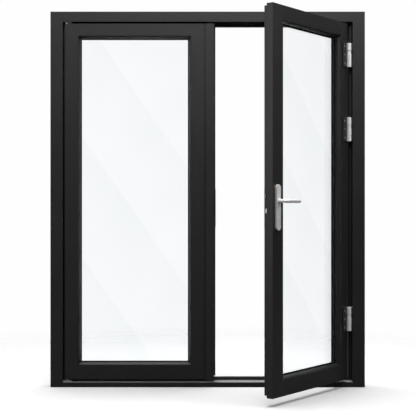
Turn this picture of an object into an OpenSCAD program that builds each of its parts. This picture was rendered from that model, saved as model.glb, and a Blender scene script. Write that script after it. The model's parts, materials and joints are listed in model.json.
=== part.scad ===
// French doors in their frame: a passive left leaf that carries the meeting profile,
// and an active right leaf that stands open on three barrel hinges.
// The origin is the middle of the threshold's underside. X runs to the right,
// Y from the front (the hinge side) to the back, and Z up. Lengths are millimetres.

/* [Frame] */
// Overall width of the frame
frame_w = 1800; // [1500:10:2200]
// Overall height of the frame
frame_h = 2150; // [1750:10:2600]
// Depth of the frame from front to back
frame_d = 85; // [75:1:110]
// Width of a jamb's front face
jamb_face = 70; // [60:1:90]
// Height of the head's front face
head_face = 58; // [50:1:80]
// Depth of the rebate that the leaves close into
rebate_d = 47; // [46:0.5:50]
// How far the stop stands past the face
stop_w = 19; // [16:0.5:24]
// Wall of every hollow profile
wall = 2; // [1.5:0.1:2.5]
// Height of the threshold's nose
nose_h = 28; // [24:1:36]
// Rise of the tread from the nose to the upstand
tread_rise = 6; // [3:0.5:10]
// Thickness of the silver tread strip
strip_t = 2; // [1:0.5:3]
// Height of the threshold's upstand above the floor
sill_h = 49; // [45:0.5:60]
// Clear diameter of the fixing holes through the jambs
fix_d = 8; // [6:0.5:10]
// Number of fixing holes in each jamb
fix_n = 4; // [3:1:5]
// Distance from each end of a jamb to its first fixing hole
fix_end = 150; // [100:5:160]

/* [Leaves] */
// Gap between a leaf's hinge edge and the jamb
side_gap = 13; // [12:0.5:16]
// Gap between a leaf's top and the head
top_gap = 10; // [9:0.5:12]
// How far the leaf's bottom laps the upstand
sill_lap = 4; // [3:0.5:6]
// How far the leaf's face lies behind the frame's face
leaf_recess = 6; // [5:0.5:7]
// Depth of the leaf's front flange
leaf_flange = 38; // [36:0.5:38.5]
// Full depth of a leaf
leaf_t = 60; // [58:1:66]
// How far the back part of a leaf is set in from its edge
setback = 12; // [10:0.5:14]
// Face width of the passive leaf's stiles and the active leaf's hinge stile
stile_face = 74; // [66:1:90]
// Face height of the passive leaf's top rail
top_face = 69; // [60:1:85]
// Face height of the passive leaf's bottom rail
bottom_face = 82; // [70:1:110]
// Face width of the active leaf's lock stile
lock_stile_face = 98; // [76:1:110]
// Face height of the active leaf's top rail
active_top_face = 76; // [60:1:90]
// Face height of the active leaf's bottom rail
active_bottom_face = 87; // [70:1:120]
// Angle at which the active leaf stands open
open_angle = 53; // [20:1:90]

/* [Glazing] */
// Width of the glazing pocket past the face
pocket_w = 16; // [14:0.5:20]
// Width of the sloping glazing bead
bead_w = 13; // [11:0.5:14]
// Step from the leaf's face back to the bead
bead_step = 5; // [3:0.5:8]
// How far the bead's slope falls back
bead_fall = 14; // [8:1:18]
// Thickness of each glass pane
pane_t = 4; // [3:0.5:6]
// Space between the panes
cavity_t = 12; // [8:1:16]
// Thickness of the glazing gaskets
gasket_t = 3; // [2:0.5:4]
// Depth of the leg behind the glass
rear_leg = 2.5; // [2:0.5:4]
// Gap around the edge of the glass
glass_gap = 4; // [3:0.5:6]

/* [Meeting profile] */
// Distance between the leaves' free edges when both are closed
meeting_w = 61; // [58:0.5:66]
// Offset of the meeting's middle from the frame's middle
meeting_shift = 9.5; // [-20:0.5:20]
// Width of the shallow groove beside the passive leaf
groove_w = 11.5; // [8:0.5:14]
// Depth of the shallow groove
groove_d = 6; // [3:0.5:8]
// Running gap beside the active leaf
meeting_gap = 3.5; // [3:0.5:5]
// How far the lip reaches behind the active leaf
lip_w = 8; // [6:0.5:8.5]
// Thickness of the plates that close the profile's ends
cap_t = 3; // [2:0.5:4]
// How far the end caps plug into the profile
cap_plug = 14; // [10:1:30]

/* [Barrel hinges] */
// Barrel diameter
barrel_d = 28; // [24:1:29]
// Barrel length
barrel_h = 136; // [120:1:160]
// Length of the upper knuckle on the jamb
upper_knuckle = 42; // [30:1:48]
// Length of the lower knuckle on the jamb
lower_knuckle = 34; // [24:1:40]
// Length of the narrower adjusting ring
ring_h = 20; // [12:1:26]
// Hinge pin diameter
pin_d = 10; // [8:0.5:12]
// Distance of the hinge axis from the leaf's hinge edge
axis_in = 9.5; // [8:0.5:12]
// Gap between the barrel and the leaf's face
barrel_gap = 0.6; // [0.5:0.1:3]
// Width of the wings on the leaf
wing_w = 34; // [28:1:44]
// Thickness of the wings on the leaf
wing_t = 7; // [5:0.5:9]
// Thickness of the plates on the jamb
plate_t = 3; // [2:0.5:4]
// Drop from the frame's top to the middle of the top hinge
top_hinge = 251; // [150:1:300]
// Drop from the top hinge to the second hinge
second_hinge = 424; // [250:1:450]
// Height of the bottom hinge's middle above the floor
low_hinge = 392; // [250:1:450]

/* [Floor and head pivots] */
// Distance of the passive leaf's pivot from its hinge edge
pivot_in = 9; // [9:0.5:12]
// Distance of the pivot behind the leaf's face
pivot_back = 13; // [12:0.5:16]
// Diameter of the pivot pins
pivot_d = 8; // [6:0.5:10]
// Length of the pin inside the leaf
pivot_grip = 26; // [20:1:32]

/* [Handle and lock] */
// Height of the lever's spindle above the floor
lever_z = 1062; // [950:1:1100]
// Distance of the spindle from the active leaf's free edge
backset = 41; // [38:0.5:48]
// Drop from the spindle to the key cylinder
cylinder_drop = 92; // [85:1:92]
// Width of the long handle plate
handle_w = 36; // [30:1:44]
// Length of the long handle plate
handle_l = 237; // [220:1:260]
// Thickness of the front handle plate
handle_t = 12; // [8:1:14]
// Thickness of the rear handle plate
rear_plate_t = 8; // [6:1:12]
// Distance from the spindle to the plate's top
handle_above = 85; // [70:1:95]
// Diameter of the lever's bar
lever_d = 21; // [16:1:22]
// Length of the lever's arm from the spindle
lever_l = 135; // [110:1:145]
// Distance of the lever's middle in front of the leaf's face
lever_out = 56; // [45:1:65]
// Side of the square spindle
spindle_s = 8; // [7:0.5:9]
// How far the latch stands out
latch_out = 12; // [10:0.5:12]
// Throw of the dead bolt
bolt_throw = 20; // [15:1:21]

/* [Shoot bolts] */
// Diameter of the shoot bolt rods
rod_d = 8; // [6:0.5:12]
// Length of each shoot bolt rod
rod_l = 560; // [400:10:700]
// Throw of each shoot bolt
rod_throw = 18; // [14:1:20]

/* [Clearances] */
// Radial clearance of turning and sliding round parts
run_fit = 0.05; // [0.03:0.01:0.09]
// Clearance beside flat sliding parts
slide_fit = 0.3; // [0.2:0.05:0.5]
// Radial clearance of holes that a screw or spindle passes through
pass_fit = 0.6; // [0.4:0.1:1]

/* [Hidden] */
$fn = 48;

front_y = -frame_d / 2;
face_y = front_y + leaf_recess;
back_y = frame_d / 2;
stop_y = front_y + rebate_d;
half_w = frame_w / 2;
reveal_x = half_w - jamb_face;
leaf_x = reveal_x - side_gap;
head_z = frame_h - head_face;
leaf_z0 = sill_h - sill_lap;
leaf_z1 = head_z - top_gap;
black = "#2c2d2f";
silver = "#b8babd";
rubber = "#141415";
steel = "#8d9094";
nylon = "#3a3a3c";

passive_free = meeting_shift - meeting_w / 2;
active_free = meeting_shift + meeting_w / 2;

// A leaf is its two edges and the face widths of its hinge stile, other stile, top and bottom rail
PASSIVE = [-leaf_x, passive_free, stile_face, stile_face, top_face, bottom_face];
ACTIVE = [-leaf_x, -active_free, stile_face, lock_stile_face, active_top_face, active_bottom_face];
BOTTOM = 0;
RIGHT = 1;
TOP = 2;
LEFT = 3;

glass_back = leaf_t - rear_leg - gasket_t;
glass_front = glass_back - 2 * pane_t - cavity_t;
bead_back = glass_front - gasket_t;
mitre_gap = 0.1;

mullion_x0 = passive_free + groove_w;
mullion_x1 = active_free - meeting_gap;
lip_x = mullion_x1 + lip_w;
mullion_z0 = leaf_z0 - cap_t;
mullion_z1 = leaf_z1;
notch_spare = 0.7;
rear_z0 = leaf_z0 + notch_rise(bottom_face);
rear_z1 = leaf_z1 - notch_rise(top_face);
strike_t = 2;
seal_t = 1.2;

barrel_r = barrel_d / 2;
axis_out = barrel_r + barrel_gap;
hinge_x = leaf_x - axis_in;
hinge_y = face_y - axis_out;
hinge_zs = [frame_h - top_hinge, frame_h - top_hinge - second_hinge, low_hinge];
washer_t = 1;
bush_wall = 2;
ring_step = 1.5;
screw_r = 2.5;
head_r = 4.5;
head_t = 2.5;

pivot_x = -leaf_x + pivot_in;
pivot_y = face_y + pivot_back;
pivot_plate = 3;
pivot_rest = 0.2;

spindle_x = active_free + backset;
cylinder_z = lever_z - cylinder_drop;
lock_mid_y = face_y + (leaf_flange + leaf_t) / 2;
case_t = 15;
case_wall = 1.5;
case_u0 = setback + wall;
case_back = 29;
case_u1 = backset + case_back;
case_z0 = cylinder_z - 35;
case_z1 = lever_z + 53;
plate_over = 20;
bolt_t = 11;
latch_rise = 26;
latch_h = 22;
latch_tail = 40;
dead_h = 24;
dead_rise = 40;
dead_grip = 16;
dead_tail = bolt_throw + dead_grip;
follower_r = 9;
lobe_r = 22;
lobe_w = 4;
euro_r = 8.5;
euro_leg = 10;
euro_h = 33;
plug_r = 6.5;
cam_r = 14;
cam_w = 10;
cam_t = 6;
keyway_w = 1.8;
keyway_h = 8;
keyway_d = 8;
cylinder_proud = 2;
rod_x = (mullion_x0 + mullion_x1) / 2;
rod_y = face_y + 20;
keep_d = rod_d + 3;

// How far the profile's rear part ends short of a rail's end, clear of the rail's mitre
function notch_rise(face) = setback * max(1, face / stile_face) + notch_spare;

// Rectangles and mitred zones in the plane of the doors ---------------------------------

// Corners in the order bottom left, bottom right, top right, top left
function rect(x0, z0, x1, z1) = [[x0, z0], [x1, z0], [x1, z1], [x0, z1]];

function hinge_stile_of(leaf) = leaf[2];
function free_stile_of(leaf) = leaf[3];
function top_of(leaf) = leaf[4];
function bottom_of(leaf) = leaf[5];

// A leaf's outline, moved in from the face's inner edge by d
function sight_rect(leaf, d) = rect(
    leaf[0] + hinge_stile_of(leaf) + d,
    leaf_z0 + bottom_of(leaf) + d,
    leaf[1] - free_stile_of(leaf) - d,
    leaf_z1 - top_of(leaf) - d
);

function leaf_rect(leaf) = rect(leaf[0], leaf_z0, leaf[1], leaf_z1);

// The frame's outline, moved in to the face's edge and then by d
function frame_rect(d) = rect(-reveal_x + d, 0, reveal_x - d, head_z - d);

// The zone of one side between nested rectangles
function zone(outer, middle, inner, k) = let(n = (k + 1) % 4)
    [outer[k], outer[n], middle[n], inner[n], inner[k], middle[k]];

// One side's zone between two rectangles, drawn back from its mitres by g
function bead_zone(outer, inner, k, g) = let(
    n = (k + 1) % 4,
    run = outer[n] - outer[k],
    back = run / norm(run) * g
) [outer[k] + back, outer[n] - back, inner[n] - back, inner[k] + back];

// A plate of any outline in the plane of the doors, from y0 back to y1
module slab(y0, y1) {
    translate([0, y1, 0]) rotate([90, 0, 0]) linear_extrude(y1 - y0) children();
}

module ring(outer, inner, y0, y1) {
    slab(y0, y1) difference() {
        polygon(outer);
        polygon(inner);
    }
}

// Runs a section along one side of a rectangle; the section's first axis points inward
module along(k, r, y0) {
    x0 = r[0][0];
    z0 = r[0][1];
    x1 = r[2][0];
    z1 = r[2][1];
    if (k == BOTTOM) translate([x1, y0, z0]) rotate([0, -90, 0]) linear_extrude(x1 - x0) children();
    if (k == RIGHT) translate([x1, y0, z0]) mirror([1, 0, 0]) linear_extrude(z1 - z0) children();
    if (k == TOP) translate([x1, y0, z1]) mirror([0, 0, 1]) rotate([0, -90, 0])
        linear_extrude(x1 - x0) children();
    if (k == LEFT) translate([x0, y0, z0]) linear_extrude(z1 - z0) children();
}

module mitred(points) {
    intersection() {
        children();
        slab(front_y - 1, back_y + 1) polygon(points);
    }
}

// Puts what is drawn with the active leaf closed on the open leaf
module on_active() {
    translate([hinge_x, hinge_y, 0]) rotate([0, 0, open_angle]) translate([-hinge_x, -hinge_y, 0])
        children();
}

// A round bar along Y from y0 back to y1
module bar_y(x, z, r, y0, y1) {
    translate([x, y0, z]) rotate([-90, 0, 0]) cylinder(r = r, h = y1 - y0);
}

// A round bar along X from x0 to x1
module bar_x(y, z, r, x0, x1) {
    translate([x0, y, z]) rotate([0, 90, 0]) cylinder(r = r, h = x1 - x0);
}

module bar_z(x, y, r, z0, z1) {
    translate([x, y, z0]) cylinder(r = r, h = z1 - z0);
}

module box(x0, x1, y0, y1, z0, z1) {
    translate([x0, y0, z0]) cube([x1 - x0, y1 - y0, z1 - z0]);
}

// A cheese-head screw along +Z with its head's top at the origin
module screw(length) {
    translate([0, 0, -head_t]) difference() {
        cylinder(r = head_r, h = head_t);
        translate([0, 0, head_t - 1.2]) cylinder(r = 2, h = 2, $fn = 6);
    }
    translate([0, 0, -length]) cylinder(r = screw_r, h = length - head_t + 0.01);
}

// Frame ---------------------------------------------------------------------------------

module frame_section(face) {
    difference() {
        union() {
            square([face, frame_d]);
            translate([0, rebate_d]) square([face + stop_w, frame_d - rebate_d]);
        }
        translate([wall, wall]) square([face - 2 * wall, rebate_d - 2 * wall]);
        translate([wall, rebate_d + wall])
            square([face + stop_w - 2 * wall, frame_d - rebate_d - 2 * wall]);
    }
}

module frame_side(k, face) {
    outer = rect(-half_w, 0, half_w, frame_h);
    mitred(zone(outer, frame_rect(0), frame_rect(stop_w), k)) along(k, outer, front_y)
        frame_section(face);
}

fix_y = front_y + rebate_d / 2;
fix_step = (frame_h - 2 * fix_end) / (fix_n - 1);

module fixing_holes(x0, x1) {
    for (i = [0 : fix_n - 1]) bar_x(fix_y, fix_end + i * fix_step, fix_d / 2, x0, x1);
}

module jamb_left() {
    color(black) difference() {
        frame_side(LEFT, jamb_face);
        fixing_holes(-half_w - 1, -reveal_x + 1);
    }
}

module jamb_right() {
    color(black) difference() {
        frame_side(RIGHT, jamb_face);
        fixing_holes(reveal_x - 1, half_w + 1);
        jamb_screw_bores();
    }
}

module head() {
    color(black) difference() {
        frame_side(TOP, head_face);
        bar_z(rod_x, rod_y, keep_d / 2, head_z - 1, head_z + wall + 1);
        pivot_screw_bores(head_z - 1, head_z + wall + 1);
    }
}

tread_slope = tread_rise / rebate_d;
strip_y = 4;
keep_cut_z = nose_h - 10;

// Runs a section of the sill between the jambs; the section's first axis points up
module on_sill() {
    translate([reveal_x, front_y, 0]) rotate([0, -90, 0]) linear_extrude(2 * reveal_x) children();
}

module threshold() {
    strip_z = nose_h + strip_y * tread_slope;
    upstand_z = nose_h + tread_rise;
    back = rebate_d + wall;
    color(black) difference() {
        on_sill() difference() {
            polygon([
                [0, 0], [nose_h, 0], [strip_z, strip_y], [strip_z - strip_t, strip_y],
                [upstand_z - strip_t, rebate_d], [sill_h, rebate_d], [sill_h, frame_d], [0, frame_d]
            ]);
            polygon([
                [wall, wall], [nose_h - strip_t - wall, wall],
                [upstand_z - strip_t - wall, rebate_d - wall], [wall, rebate_d - wall]
            ]);
            translate([wall, back]) square([sill_h - 2 * wall, frame_d - back - wall]);
        }
        for (side = [-1, 1]) scale([side, 1, 1])
            box(reveal_x - stop_w, reveal_x + 1, stop_y, back_y + 1, -1, sill_h + 1);
        bar_z(rod_x, rod_y, keep_d / 2, keep_cut_z, sill_h);
    }
}

module tread_profile() {
    polygon([
        [nose_h + strip_y * tread_slope - strip_t, strip_y],
        [nose_h + strip_y * tread_slope, strip_y],
        [nose_h + tread_rise, rebate_d],
        [nose_h + tread_rise - strip_t, rebate_d]
    ]);
}

module tread_strip() {
    color(silver) difference() {
        on_sill() tread_profile();
        bar_z(rod_x, rod_y, keep_d / 2, keep_cut_z, sill_h);
    }
}

cleat_fit = 0.5;
frame_arm = 90;

// Corner cleats fill the front chambers of the two profiles that they join
module frame_cleat() {
    x0 = -half_w + wall;
    z1 = frame_h - wall;
    y0 = front_y + wall;
    box(x0, -reveal_x - wall - cleat_fit, y0, stop_y - wall, z1 - frame_arm, z1);
    box(x0, x0 + frame_arm, y0, stop_y - wall, head_z + wall + cleat_fit, z1);
}

module frame_cleats() {
    color(steel) for (side = [0, 1]) mirror([side, 0, 0]) frame_cleat();
}

// The seal sits on the stop, where the leaves' flanges close
module frame_seal() {
    seat = side_gap + 0.5;
    width = 5;
    low = sill_h - sill_lap + 0.5;
    outer = rect(-reveal_x + seat, low, reveal_x - seat, head_z - seat);
    inner = rect(-reveal_x + seat + width, low + 3, reveal_x - seat - width, head_z - seat - width);
    color(rubber) ring(outer, inner, stop_y - seal_t, stop_y);
}

// Barrel hinges -------------------------------------------------------------------------

leaf_knuckle_top = -barrel_h / 2 + lower_knuckle + (barrel_h - upper_knuckle - lower_knuckle - ring_h);
upper_z = barrel_h / 2 - upper_knuckle;
lower_z = -barrel_h / 2 + lower_knuckle;

module at_hinges() {
    for (z = hinge_zs) translate([hinge_x, hinge_y, z]) children();
}

module tube(r, bore, z0, z1) {
    translate([0, 0, z0]) difference() {
        cylinder(r = r, h = z1 - z0);
        translate([0, 0, -1]) cylinder(r = bore, h = z1 - z0 + 2);
    }
}

jamb_reach = reveal_x - hinge_x;
jamb_front = axis_out - leaf_recess;
screw_pitch = 48;
screw_zs = [-screw_pitch, 0, screw_pitch];
plate_in = 1;
plate_depth = 37;
jamb_screw_y = jamb_front + plate_in + plate_depth / 2 + 2.5;
arm_y0 = -7;
arm_y1 = 5;

module hinge_jamb_plates() {
    x0 = jamb_reach - plate_t;
    y0 = jamb_front + plate_in;
    color(black) at_hinges() difference() {
        union() {
            box(x0, jamb_reach, y0, y0 + plate_depth, -barrel_h / 2, barrel_h / 2);
            for (span = [[-barrel_h / 2, lower_z], [upper_z, barrel_h / 2]]) {
                box(barrel_r / 2, jamb_reach, arm_y0, arm_y1, span[0], span[1]);
                box(x0, jamb_reach, arm_y1 - 1, y0 + 1, span[0], span[1]);
            }
        }
        bar_z(0, 0, barrel_r, -barrel_h, barrel_h);
        for (z = screw_zs) bar_x(jamb_screw_y, z, screw_r, 0, jamb_reach + 1);
        for (z = screw_zs) bar_x(jamb_screw_y, z, head_r, 0, jamb_reach - plate_t + head_t);
    }
}

module jamb_screw_bores() {
    at_hinges() for (z = screw_zs) bar_x(jamb_screw_y, z, screw_r, 0, jamb_reach + wall + 1);
}

module hinge_jamb_knuckles() {
    color(silver) at_hinges() {
        tube(barrel_r, pin_d / 2, -barrel_h / 2, lower_z);
        tube(barrel_r, pin_d / 2, upper_z, barrel_h / 2);
    }
}

module hinge_pins() {
    color(steel) at_hinges() bar_z(0, 0, pin_d / 2, -barrel_h / 2 + 2, barrel_h / 2 - 2);
}

module hinge_leaf_knuckles() {
    color(silver) on_active() at_hinges()
        tube(barrel_r, pin_d / 2 + run_fit + bush_wall, lower_z + washer_t, leaf_knuckle_top);
}

module hinge_rings() {
    color(silver) on_active() at_hinges() tube(
        barrel_r - ring_step,
        pin_d / 2 + run_fit + bush_wall,
        leaf_knuckle_top,
        upper_z - washer_t
    );
}

// A nylon bush lines the leaf's knuckle and ring, with a collar at each end
module hinge_bushes() {
    bore = pin_d / 2 + run_fit;
    color(nylon) on_active() at_hinges() {
        tube(bore + bush_wall, bore, lower_z + washer_t, upper_z - washer_t);
        tube(barrel_r - ring_step, bore, lower_z + slide_fit, lower_z + washer_t);
        tube(barrel_r - ring_step, bore, upper_z - washer_t, upper_z - slide_fit);
    }
}

wing_clear = 2;
wing_screw_x = -barrel_r - wing_clear - wing_w / 2;

module hinge_leaf_wings() {
    color(black) on_active() at_hinges() difference() {
        union() {
            box(
                -barrel_r - wing_clear - wing_w, -barrel_r - wing_clear,
                axis_out - wing_t, axis_out, -barrel_h / 2, barrel_h / 2
            );
            box(
                -barrel_r - wing_clear - 1, -barrel_r / 2, axis_out - wing_t, axis_out,
                lower_z + washer_t, leaf_knuckle_top
            );
        }
        bar_z(0, 0, barrel_r, -barrel_h, barrel_h);
        for (z = screw_zs) bar_y(wing_screw_x, z, screw_r, 0, axis_out + 1);
        for (z = screw_zs) bar_y(wing_screw_x, z, head_r, 0, axis_out - wing_t + head_t);
    }
}

module wing_screws() {
    color(steel) on_active() at_hinges() for (z = screw_zs)
        translate([wing_screw_x, axis_out - wing_t, z]) rotate([90, 0, 0]) screw(wing_t + wall);
}

module wing_screw_bores() {
    at_hinges() for (z = screw_zs) bar_y(wing_screw_x, z, screw_r, 0, axis_out + wall + 1);
}

// Leaves --------------------------------------------------------------------------------

module leaf_section(face) {
    back = leaf_flange + wall;
    difference() {
        union() {
            square([face, leaf_flange]);
            translate([setback, 0]) square([face - setback, leaf_t]);
            translate([face - 1, leaf_t - rear_leg]) square([pocket_w + 1, rear_leg]);
        }
        translate([wall, wall]) square([face - 2 * wall, leaf_flange - 2 * wall]);
        translate([setback + wall, back]) square([face - setback - 2 * wall, leaf_t - back - wall]);
    }
}

module leaf_side(leaf, k) {
    face = [bottom_of(leaf), free_stile_of(leaf), top_of(leaf), hinge_stile_of(leaf)][k];
    mitred(zone(leaf_rect(leaf), sight_rect(leaf, 0), sight_rect(leaf, pocket_w), k))
        along(k, leaf_rect(leaf), face_y) leaf_section(face);
}

// The bead's slope runs back from the face, and its foot rests on the pocket's wall
module bead_section() {
    t = 1.5;
    flat = 2;
    rise = bead_fall / (bead_w - flat);
    difference() {
        polygon([
            [0, bead_step], [flat, bead_step], [bead_w, bead_step + bead_fall],
            [bead_w, bead_back], [0, bead_back]
        ]);
        polygon([
            [t, bead_step + t], [flat, bead_step + t * rise + 0.1],
            [bead_w - t, bead_step + bead_fall + 0.8], [bead_w - t, bead_back - t], [t, bead_back - t]
        ]);
    }
}

module leaf_beads(leaf) {
    for (k = [BOTTOM, RIGHT, TOP, LEFT])
        mitred(bead_zone(sight_rect(leaf, 0), sight_rect(leaf, bead_w), k, mitre_gap))
            along(k, sight_rect(leaf, 0), face_y) bead_section();
}

module leaf_pane(leaf, t0) {
    slab(face_y + t0, face_y + t0 + pane_t) polygon(sight_rect(leaf, glass_gap));
}

edge_in = 2;
gasket_lip = 6;

module leaf_spacer(leaf) {
    y0 = face_y + glass_front + pane_t;
    ring(sight_rect(leaf, glass_gap + edge_in), sight_rect(leaf, pocket_w - edge_in), y0, y0 + cavity_t);
}

module leaf_gaskets(leaf) {
    front = face_y + bead_back;
    back = face_y + glass_back;
    outer = sight_rect(leaf, glass_gap + edge_in);
    ring(outer, sight_rect(leaf, bead_w + gasket_lip), front, front + gasket_t);
    ring(outer, sight_rect(leaf, pocket_w), back, back + gasket_t);
}

leaf_arm = 70;
leaf_cleat_t = 13;

// Corner cleats lie in the back of the front chambers
module leaf_cleat(leaf, k) {
    r = leaf_rect(leaf);
    rail = k < TOP ? bottom_of(leaf) : top_of(leaf);
    stile = k == RIGHT || k == TOP ? free_stile_of(leaf) : hinge_stile_of(leaf);
    y1 = face_y + leaf_flange - wall;
    y0 = y1 - leaf_cleat_t;
    stile_in = stile - wall * max(1, stile / rail);
    rail_in = rail - wall * max(1, rail / stile);
    translate([r[k][0], 0, r[k][1]]) mirror([k == RIGHT || k == TOP ? 1 : 0, 0, 0])
        mirror([0, 0, k < TOP ? 0 : 1]) {
            box(wall, stile_in, y0, y1, wall, leaf_arm + rail);
            box(wall, leaf_arm + stile, y0, y1, wall, rail_in);
        }
}

module leaf_cleats(leaf) {
    for (k = [0 : 3]) leaf_cleat(leaf, k);
}

module active_ring() {
    on_active() mirror([1, 0, 0]) children();
}

module active_hinge_stile() {
    color(black) difference() {
        active_ring() leaf_side(ACTIVE, LEFT);
        on_active() wing_screw_bores();
    }
}

module active_lock_stile() {
    u0 = active_free;
    color(black) on_active() difference() {
        mirror([1, 0, 0]) leaf_side(ACTIVE, RIGHT);
        box(
            u0 + setback - 1, u0 + case_u0, lock_mid_y - case_t / 2, lock_mid_y + case_t / 2,
            case_z0 - plate_over, case_z1 + plate_over
        );
        bar_y(spindle_x, lever_z, follower_r + 2, face_y - 1, face_y + leaf_t + 1);
        euro_hole(1, face_y - 1, face_y + leaf_t + 1);
        for (z = handle_screw_zs) bar_y(spindle_x, z, screw_r + pass_fit, face_y - 1, face_y + leaf_t + 1);
    }
}

module active_top_rail() {
    color(black) active_ring() leaf_side(ACTIVE, TOP);
}

module active_bottom_rail() {
    color(black) active_ring() leaf_side(ACTIVE, BOTTOM);
}

module active_beads() {
    color(black) active_ring() leaf_beads(ACTIVE);
}

module active_pane_outer() {
    color("#dfe9ee") active_ring() leaf_pane(ACTIVE, glass_front);
}

module active_pane_inner() {
    color("#dfe9ee") active_ring() leaf_pane(ACTIVE, glass_back - pane_t);
}

module active_spacer() {
    color(rubber) active_ring() leaf_spacer(ACTIVE);
}

module active_gaskets() {
    color(rubber) active_ring() leaf_gaskets(ACTIVE);
}

module active_cleats() {
    color(steel) active_ring() leaf_cleats(ACTIVE);
}

module passive_hinge_stile() {
    color(black) leaf_side(PASSIVE, LEFT);
}

module passive_meeting_stile() {
    color(black) leaf_side(PASSIVE, RIGHT);
}

module passive_top_rail() {
    color(black) difference() {
        leaf_side(PASSIVE, TOP);
        bar_z(pivot_x, pivot_y, pivot_collar_r, leaf_z1 - wall - 1, leaf_z1 + 1);
    }
}

module passive_bottom_rail() {
    color(black) difference() {
        leaf_side(PASSIVE, BOTTOM);
        bar_z(pivot_x, pivot_y, pivot_collar_r, leaf_z0 - 1, leaf_z0 + wall + 1);
    }
}

module passive_beads() {
    color(black) leaf_beads(PASSIVE);
}

module passive_pane_outer() {
    color("#dfe9ee") leaf_pane(PASSIVE, glass_front);
}

module passive_pane_inner() {
    color("#dfe9ee") leaf_pane(PASSIVE, glass_back - pane_t);
}

module passive_spacer() {
    color(rubber) leaf_spacer(PASSIVE);
}

module passive_gaskets() {
    color(rubber) leaf_gaskets(PASSIVE);
}

module passive_cleats() {
    color(steel) leaf_cleats(PASSIVE);
}

// Pivots of the passive leaf ------------------------------------------------------------

pivot_collar_r = pivot_in - wall - 0.2;
pivot_block_l = pivot_grip + 6;
pivot_block_w = 14;
pivot_block_y0 = pivot_y - 9;
pivot_block_y1 = pivot_y + 8;

// A block in the corner of the leaf, with the bore that turns on the pin
module pivot_block() {
    difference() {
        union() {
            box(
                -leaf_x + wall, pivot_x + pivot_block_w, pivot_block_y0, pivot_block_y1,
                leaf_z0 + wall, leaf_z0 + pivot_block_l
            );
            bar_z(pivot_x, pivot_y, pivot_collar_r, leaf_z0, leaf_z0 + wall + 1);
        }
        bar_z(pivot_x, pivot_y, pivot_d / 2 + run_fit, leaf_z0 - 1, leaf_z0 + pivot_grip + 2);
    }
}

module pivot_blocks() {
    color(steel) {
        pivot_block();
        translate([0, 0, leaf_z0 + leaf_z1]) mirror([0, 0, 1]) pivot_block();
    }
}

pivot_screw_x = [pivot_x + 12, pivot_x + 24];
pivot_plate_w = 31;
pivot_plate_y0 = pivot_y - 12;
pivot_plate_y1 = pivot_y + 17;
pivot_plate_foot = 5;

module pivot_screw_bores(z0, z1) {
    for (x = pivot_screw_x) bar_z(x, pivot_y, screw_r, z0, z1);
}

module pivot_plate_box(z0, z1) {
    box(-reveal_x + 1, pivot_x + pivot_plate_w, pivot_plate_y0, pivot_plate_y1, z0, z1);
}

module pivot_top() {
    color(steel) {
        difference() {
            pivot_plate_box(head_z - pivot_plate, head_z);
            pivot_screw_bores(head_z - 10, head_z + 1);
        }
        bar_z(pivot_x, pivot_y, pivot_collar_r, leaf_z1 + pivot_rest, head_z - pivot_plate + 1);
        bar_z(pivot_x, pivot_y, pivot_d / 2, leaf_z1 - pivot_grip, head_z - pivot_plate + 1);
    }
}

// The lower bracket lies on the sloping tread
module pivot_bottom() {
    top = nose_h + tread_rise + pivot_plate;
    color(steel) {
        difference() {
            pivot_plate_box(nose_h - pivot_plate_foot, top);
            on_sill() polygon([[0, 0], [nose_h, 0], [nose_h + tread_rise, rebate_d], [0, rebate_d]]);
        }
        bar_z(pivot_x, pivot_y, pivot_collar_r, top - 1, leaf_z0 - pivot_rest);
        bar_z(pivot_x, pivot_y, pivot_d / 2, top - 1, leaf_z0 + pivot_grip);
    }
}

// Meeting profile -----------------------------------------------------------------------

module mullion_section() {
    f = leaf_recess;
    x0 = passive_free;
    inner = x0 - setback;
    back = leaf_recess + leaf_t;
    flange = leaf_recess + leaf_flange;
    web = rebate_d - wall;
    difference() {
        polygon([
            [x0, f + groove_d], [mullion_x0, f + groove_d], [mullion_x0, f], [mullion_x1, f],
            [mullion_x1, rebate_d], [lip_x, rebate_d], [lip_x, back], [inner, back],
            [inner, flange], [x0, flange]
        ]);
        polygon([
            [mullion_x0 + wall, f + wall], [mullion_x1 - wall, f + wall], [mullion_x1 - wall, web],
            [x0 + wall, web], [x0 + wall, f + groove_d + wall],
            [mullion_x0 + wall, f + groove_d + wall]
        ]);
        translate([inner + wall, rebate_d + wall])
            square([lip_x - inner - 2 * wall, back - rebate_d - 2 * wall]);
    }
}

knob_h = 14;
knob_y = 6;
knob_in = 420;
top_knob_z = mullion_z1 - knob_in;
low_knob_z = mullion_z0 + knob_in;
grip_pitch = 4;
tip_in = 1;
guide_h = 20;
guide_in = 60;

module false_mullion() {
    notch_y = face_y + leaf_flange - wall;
    color(black) difference() {
        translate([0, front_y, mullion_z0]) linear_extrude(mullion_z1 - mullion_z0) mullion_section();
        box(-half_w, half_w, notch_y, back_y, 0, rear_z0);
        box(-half_w, half_w, notch_y, back_y, rear_z1, frame_h);
        bolt_holes(lip_x - wall - 1, lip_x + 1, strike_fit + 0.2);
        for (z = [top_knob_z, low_knob_z - rod_throw])
            box(
                mullion_x1 - wall - 1, mullion_x1 + 1, rod_y - knob_y / 2 - slide_fit,
                rod_y + knob_y / 2 + slide_fit, z - knob_h / 2 - slide_fit,
                z + knob_h / 2 + rod_throw + slide_fit
            );
    }
}

module cap_outline(inset) {
    x0 = mullion_x0 + inset;
    x1 = mullion_x1 - inset;
    y1 = face_y + leaf_flange - wall;
    translate([x0, face_y + inset]) square([x1 - x0, y1 - face_y - inset - (inset > 0 ? 1 : 0)]);
}

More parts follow.
